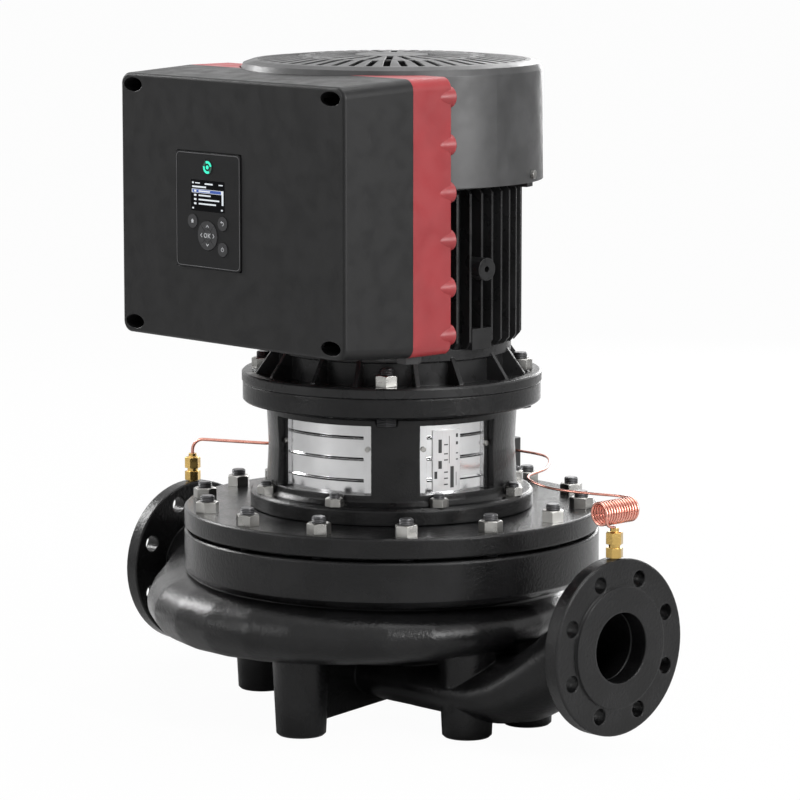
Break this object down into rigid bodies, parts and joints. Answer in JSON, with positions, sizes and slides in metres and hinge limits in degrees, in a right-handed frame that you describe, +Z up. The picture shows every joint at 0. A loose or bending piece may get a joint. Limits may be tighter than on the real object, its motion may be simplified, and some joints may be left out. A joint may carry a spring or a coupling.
{
  "type": "in-line circulation pump",
  "caption": "Vertical in-line circulation pump: spiral casing with opposed flanged ports, motor stool, finned motor with fan cover and a control box with a key panel.",
  "frame": {"origin": "point where the shaft axis meets the plane of the feet, centre of the four tapped feet", "axes": "+Z up along the shaft axis, +X along the pipe towards the suction flange, -Y towards the control box"},
  "size_m": [0.752, 0.5155, 0.768],
  "materials": {
    "casing_paint": "satin black paint on a cast surface",
    "motor_paint": "satin black paint on a die-cast surface",
    "machined_iron": "machined",
    "zinc_nuts": "zinc plated",
    "dark_studs": "dark oiled thread",
    "stainless": "bright sheet",
    "shaft_steel": "ground",
    "core_steel": "laminated",
    "winding_copper": "varnished wire",
    "brass": "machined",
    "copper": "drawn tube",
    "rubber": "matt",
    "seal_ceramic": "lapped",
    "fan_plastic": "moulded",
    "box_red": "red powder coat",
    "box_black": "moulded, fine satin",
    "panel_plastic": "smooth",
    "display_glass": "clear cover",
    "status_green": "lit ring",
    "key_rubber": "soft",
    "board_green": "coated",
    "sensor_plastic": "moulded"
  },
  "bodies": {
    "root": {"bearing_outers": "shaft_steel", "blank_plugs": "fan_plastic", "box_base": "box_red", "box_cover": "box_black", "box_screws": "zinc_nuts", "casing_cover": "casing_paint", "control_board": "board_green", "coupling_guard_back": "stainless", "coupling_guard_front": "stainless", "coupling_guard_left": "stainless", "coupling_guard_right": "stainless", "cover_nuts": "zinc_nuts", "cover_o_ring": "rubber", "cover_studs": "dark_studs", "discharge_fitting": "brass", "discharge_line": "copper", "display_window": "display_glass", "drain_plug": "zinc_nuts", "drive_shield": "motor_paint", "fan_cover": "motor_paint", "fan_cover_screws": "zinc_nuts", "guard_screws": "zinc_nuts", "motor_bolts": "dark_studs", "motor_frame": "motor_paint", "motor_nuts": "zinc_nuts", "motor_stool": "casing_paint", "panel_frame": "panel_plastic", "pressure_sensor": "sensor_plastic", "pump_casing": "casing_paint", "rear_shield": "motor_paint", "seal_seat": "seal_ceramic", "sensor_bracket": "stainless", "stator_core": "core_steel", "stator_winding": "winding_copper", "status_light": "status_green", "stool_nuts": "zinc_nuts", "stool_studs": "dark_studs", "suction_fitting": "brass", "suction_line": "copper", "wear_ring": "machined_iron"},
    "rotor": {"motor_shaft": "shaft_steel", "rotor_core": "core_steel", "bearing_inners": "shaft_steel", "cooling_fan": "fan_plastic", "coupling_half_a": "shaft_steel", "coupling_half_b": "shaft_steel", "coupling_screws": "shaft_steel", "pump_shaft": "shaft_steel", "impeller": "machined_iron", "impeller_nut": "machined_iron", "seal_head": "seal_ceramic", "seal_spring": "shaft_steel"},
    "key_ok": {"key_ok": "key_rubber"},
    "key_up": {"key_up": "key_rubber"},
    "key_down": {"key_down": "key_rubber"},
    "key_left": {"key_left": "key_rubber"},
    "key_right": {"key_right": "key_rubber"},
    "key_home": {"key_home": "key_rubber"},
    "key_back": {"key_back": "key_rubber"},
    "key_power": {"key_power": "key_rubber"}
  },
  "joints": [
    {"name": "rotor_spin", "type": "hinge", "parent": "root", "child": "rotor", "pos_m": [0, 0, 0.5], "axis": [0, 0, 1], "continuous": true},
    {"name": "key_ok_press", "type": "slide", "parent": "root", "child": "key_ok", "axis": [0, 1, 0], "range_m": [0, 0.0008], "stiffness_N_per_m": 400},
    {"name": "key_up_press", "type": "slide", "parent": "root", "child": "key_up", "axis": [0, 1, 0], "range_m": [0, 0.0008], "stiffness_N_per_m": 400},
    {"name": "key_down_press", "type": "slide", "parent": "root", "child": "key_down", "axis": [0, 1, 0], "range_m": [0, 0.0008], "stiffness_N_per_m": 400},
    {"name": "key_left_press", "type": "slide", "parent": "root", "child": "key_left", "axis": [0, 1, 0], "range_m": [0, 0.0008], "stiffness_N_per_m": 400},
    {"name": "key_right_press", "type": "slide", "parent": "root", "child": "key_right", "axis": [0, 1, 0], "range_m": [0, 0.0008], "stiffness_N_per_m": 400},
    {"name": "key_home_press", "type": "slide", "parent": "root", "child": "key_home", "axis": [0, 1, 0], "range_m": [0, 0.0008], "stiffness_N_per_m": 400},
    {"name": "key_back_press", "type": "slide", "parent": "root", "child": "key_back", "axis": [0, 1, 0], "range_m": [0, 0.0008], "stiffness_N_per_m": 400},
    {"name": "key_power_press", "type": "slide", "parent": "root", "child": "key_power", "axis": [0, 1, 0], "range_m": [0, 0.0008], "stiffness_N_per_m": 400}
  ]
}
